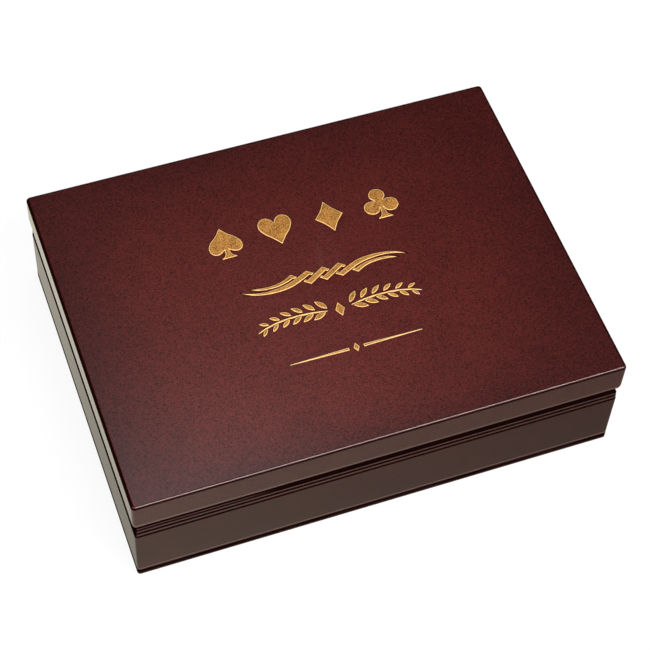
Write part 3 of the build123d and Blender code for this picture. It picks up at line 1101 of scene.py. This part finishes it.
def makePad(node, p):
    bm, glued = slabOf(node, p["facing"], p["cell"])
    low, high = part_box(node)
    middle, half = (low + high) / 2, (high - low) / 2
    places = [v.co.copy() for v in bm.verts]
    moves = blowUp(bm.copy(), glued, p["pressure"])
    cap, pull = p["cap"] * mm, padShape["pull"] * mm
    longest = max(max(m.length for m in moves), 0.2 * mm)
    gluedSet = set(glued)
    for vert, place, move in zip(bm.verts, places, moves):
        if vert.index in gluedSet:
            continue
        u, v = (place.x - middle.x) / half.x, (place.y - middle.y) / half.y
        crown = (1 - abs(u) ** padShape["crownPower"]) * (1 - abs(v) ** padShape["crownPower"])
        blown = min(1.0, abs(move.z) / longest * padShape["blownGain"])
        lift = cap * (padShape["evenShare"] * crown + padShape["blownShare"] * blown * crown)
        slack = padShape["slack"] * mm * noise.noise(place * padShape["slackScale"]) * crown
        drop = max(abs(u), abs(v)) ** padShape["edgePower"] * padShape["edgeDrop"] * abs(place.z - middle.z)
        vert.co.z = place.z + p["facing"] * (lift + slack - drop)
        vert.co.x = place.x - pull * u * abs(u) ** padShape["pullPower"] * (1 - abs(v) ** 2)
        vert.co.y = place.y - pull * v * abs(v) ** padShape["pullPower"] * (1 - abs(u) ** 2)
    piece = addPiece("padded_" + node, meshFrom(bm, node + "Velvet", 80), p["body"], "velvet", blackVelvet)
    soft = piece.modifiers.new("soft", "SUBSURF")
    soft.levels = soft.render_levels = 1
    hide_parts(node)


for node, p in pads.items():
    makePad(node, p)
print("pads made")


# felt under the base

feltSheet = {"cornerRound": 2.0, "edgeRound": 0.12}


def makeFeltSheet():
    low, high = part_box("felt_base_pad")
    size = high - low
    bm = bmesh.new()
    bmesh.ops.create_cube(bm, size=1.0)
    sized(bm, *size)
    shifted(bm, bm.verts, *(low + high) / 2)
    upright = [e for e in bm.edges if abs(e.verts[0].co.z - e.verts[1].co.z) > 0.1 * mm]
    roundEdges(bm, upright, feltSheet["cornerRound"] * mm, 5)
    rims = [e for e in bm.edges if e.calc_face_angle() > 1.0]
    roundEdges(bm, rims, feltSheet["edgeRound"] * mm, 2)
    felt = addPiece("felt_sheet", meshFrom(bm, "feltSheet", 50), "base", "felt", blackFelt)
    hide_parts("felt_base_pad")


makeFeltSheet()
print("felt made")


# floor, room light and camera

studio = {
    "floorHalf": 4.0,
    "floorColour": (0.80, 0.80, 0.80),
    "whiteShare": 0.86,
    "mirroredTint": (1.0, 0.965, 0.80),
    "frontTint": (1.0, 0.85, 0.69),
    "frontSpan": (-0.060, -0.072),
    "mirroredLeft": 1.06,
    "mirroredRight": 0.46,
    "mirroredSpan": (-0.17, 0.13),
    "mirroredBack": 1.5,
    "mirroredDepth": (-0.075, 0.08),
    "roomGrey": 0.27,
    "ceilingGrey": 0.06,
    "backdropTop": -0.05,
    "backdropFade": 0.06,
}

softboxes = {
    "keyLight": {"place": (-0.40, -0.62, 0.90), "size": (0.6, 0.5), "power": 5.6, "aim": (0, 0, 0.03)},
    "overheadLight": {"place": (-0.06, 0.23, 1.25), "size": (0.7, 0.6), "power": 7.0, "aim": (-0.05, 0.2, 0)},
    "frontStrip": {"place": (0.237, -0.58, 0.905), "size": (0.9, 0.14), "power": 10.5, "aim": (0, 0, 0.03)},
    "fillLight": {"place": (1.2, -0.05, 0.55), "size": (0.7, 0.7), "power": 4.0, "aim": (0, 0, 0.03)},
}

cameraView = {
    "place": (-0.147654, -0.358110, 0.586670),
    "azimuth": -22.8200,
    "elevation": 55.6790,
    "roll": 3.9110,
    "lens": 108.2395,
    "sensor": 36.0,
}


def rays(tree):
    # the kinds of ray, and whether one was mirrored or went through glass
    path = addNode(tree, "ShaderNodeLightPath").outputs
    return path, highest(tree, path["Is Glossy Ray"], path["Is Transmission Ray"])


def makeFloor():
    bm = bmesh.new()
    bmesh.ops.create_grid(bm, x_segments=4, y_segments=4, size=studio["floorHalf"])
    mesh = bpy.data.meshes.new("paleFloor")
    bm.to_mesh(mesh)
    bm.free()
    floor = bpy.data.objects.new("pale_floor", mesh)
    bpy.context.scene.collection.objects.link(floor)
    material, tree, shader = newMaterial("paleFloor", Roughness=0.9, SpecularIORLevel=0.1)
    feed(tree, shader, BaseColor=(*studio["floorColour"], 1.0))
    # painted light: what the lacquer mirrors of the floor is made to glow brighter at the left and back,
    # falling off to the right, warm, and warmer in front
    path, mirrored = rays(tree)
    place = axesOf(tree, objectPlace(tree))
    inFront = remap(tree, place["Y"], *studio["frontSpan"])
    tint = mixColour(tree, inFront, studio["mirroredTint"], studio["frontTint"])
    sweep = remap(
        tree, place["X"], *studio["mirroredSpan"], studio["mirroredLeft"], studio["mirroredRight"]
    )
    depth = remap(tree, place["Y"], *studio["mirroredDepth"], 1.0, studio["mirroredBack"])
    level = maths(tree, "ADD", times(tree, mirrored, times(tree, sweep, depth)), remainder(tree, mirrored))
    white = addNode(tree, "ShaderNodeEmission")
    feed(tree, white, Color=mixColour(tree, mirrored, (1.0, 1.0, 1.0), tint), Strength=level)
    share = highest(tree, times(tree, path["Is Camera Ray"], studio["whiteShare"]), mirrored)
    blend = addNode(tree, "ShaderNodeMixShader")
    tree.links.new(share, blend.inputs[0])
    tree.links.new(shader.outputs[0], blend.inputs[1])
    tree.links.new(white.outputs[0], blend.inputs[2])
    tree.links.new(blend.outputs[0], tree.nodes["Material Output"].inputs["Surface"])
    mesh.materials.append(material)


def makeRoom():
    world = bpy.data.worlds.new("paleRoom")
    bpy.context.scene.world = world
    world.use_nodes = True
    tree = world.node_tree
    tree.nodes.clear()
    path, mirrored = rays(tree)
    height = axesOf(tree, addNode(tree, "ShaderNodeTexCoord").outputs["Generated"])["Z"]
    top = studio["backdropTop"]
    backdrop = remap(tree, height, top + studio["backdropFade"], top, studio["ceilingGrey"], 1.0)
    plain = times(tree, remainder(tree, mirrored), studio["roomGrey"])
    level = maths(tree, "ADD", times(tree, mirrored, backdrop), plain)
    level = highest(tree, level, path["Is Camera Ray"])
    sky = feed(tree, addNode(tree, "ShaderNodeBackground"), Color=(1, 1, 1, 1), Strength=level)
    tree.links.new(sky.outputs[0], addNode(tree, "ShaderNodeOutputWorld").inputs["Surface"])


def makeLights():
    for name, box in softboxes.items():
        light = bpy.data.lights.new(name, "AREA")
        light.shape = "RECTANGLE"
        light.size, light.size_y = box["size"]
        light.energy = box["power"]
        lamp = bpy.data.objects.new(name, light)
        bpy.context.scene.collection.objects.link(lamp)
        place = Vector(box["place"])
        turn = (Vector(box["aim"]) - place).to_track_quat("-Z", "Y")
        lamp.matrix_world = Matrix.Translation(place) @ turn.to_matrix().to_4x4()


def makeCamera():
    view = cameraView
    camera = bpy.data.objects.new("camera", bpy.data.cameras.new("camera"))
    bpy.context.scene.collection.objects.link(camera)
    camera.data.sensor_width = view["sensor"]
    camera.data.lens = view["lens"]
    camera.data.clip_start = 0.01
    camera.matrix_world = (
        Matrix.Translation(view["place"])
        @ Matrix.Rotation(radians(view["azimuth"]), 4, "Z")
        @ Matrix.Rotation(radians(90 - view["elevation"]), 4, "X")
        @ Matrix.Rotation(radians(view["roll"]), 4, "Z")
    )
    bpy.context.scene.camera = camera


makeFloor()
makeRoom()
makeLights()
makeCamera()
bpy.context.scene.view_settings.view_transform = "Standard"
print("studio made")

bpy.context.view_layer.update()
